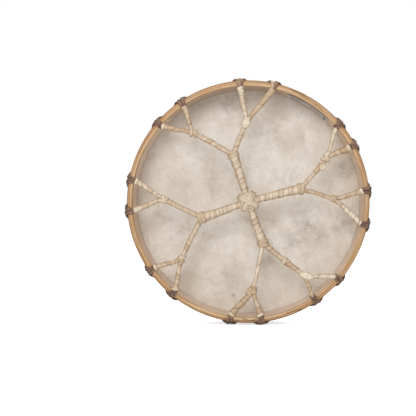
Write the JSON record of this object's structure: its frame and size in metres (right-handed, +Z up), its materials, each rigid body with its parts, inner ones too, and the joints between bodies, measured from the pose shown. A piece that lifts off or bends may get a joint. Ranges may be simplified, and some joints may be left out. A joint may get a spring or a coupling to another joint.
{
  "type": "frame drum",
  "caption": "Frame drum: rawhide head over a shallow bent-ply wooden hoop, pulled tight from behind by a wrapped rawhide web that gathers into a central hand hold.",
  "frame": {"origin": "centre of the drum's bounding box, on the hoop's axis, midway between the head's face and the back of the hub", "axes": "the drum stands on its rim: +Z up, the playing face of the head faces -Y, the laced back faces +Y, and the hoop's axis is along Y"},
  "size_m": [0.4056, 0.0708, 0.4057],
  "materials": {
    "wood": "sanded and oiled, with a warm satin sheen",
    "hide": "scraped rawhide, mottled cream with tan speckles and grey smudges",
    "tie_lace": "dark brown rawhide lace, dry and slightly glossy on its ridges",
    "web_lace": "cream rawhide lace, smooth, with brown shadow lines between turns",
    "strip": "silver grey woven strip",
    "tack": "dark, dull"
  },
  "bodies": {
    "root": {"hoop_outer_ply": "wood", "hoop_inner_ply": "wood", "joint_strip": "strip", "strip_tack": "tack", "drum_head": "hide", "rim_tie_01": "tie_lace", "rim_tie_02": "tie_lace", "rim_tie_03": "tie_lace", "rim_tie_04": "tie_lace", "rim_tie_05": "tie_lace", "rim_tie_06": "tie_lace", "rim_tie_07": "tie_lace", "rim_tie_08": "tie_lace", "rim_tie_09": "tie_lace", "rim_tie_10": "tie_lace", "rim_tie_11": "tie_lace", "rim_tie_12": "tie_lace", "rim_tie_13": "tie_lace", "rim_tie_14": "tie_lace", "rim_tie_15": "tie_lace", "rim_tie_16": "tie_lace", "web_leg_01": "web_lace", "web_leg_02": "web_lace", "web_leg_03": "web_lace", "web_leg_04": "web_lace", "web_leg_05": "web_lace", "web_leg_06": "web_lace", "web_leg_07": "web_lace", "web_leg_08": "web_lace", "web_leg_09": "web_lace", "web_leg_10": "web_lace", "web_leg_11": "web_lace", "web_leg_12": "web_lace", "web_leg_13": "web_lace", "web_leg_14": "web_lace", "web_leg_15": "web_lace", "web_leg_16": "web_lace", "web_crotch_1": "web_lace", "web_crotch_2": "web_lace", "web_crotch_3": "web_lace", "web_crotch_4": "web_lace", "web_crotch_5": "web_lace", "web_crotch_6": "web_lace", "web_crotch_7": "web_lace", "web_crotch_8": "web_lace", "web_stem_1": "web_lace", "web_stem_2": "web_lace", "web_stem_3": "web_lace", "web_stem_4": "web_lace", "web_stem_5": "web_lace", "web_stem_6": "web_lace", "web_stem_7": "web_lace", "web_stem_8": "web_lace", "web_trunk_1": "web_lace", "web_trunk_2": "web_lace", "web_trunk_3": "web_lace", "web_trunk_4": "web_lace", "hub_core": "web_lace", "hub_binding": "web_lace"}
  },
  "joints": []
}
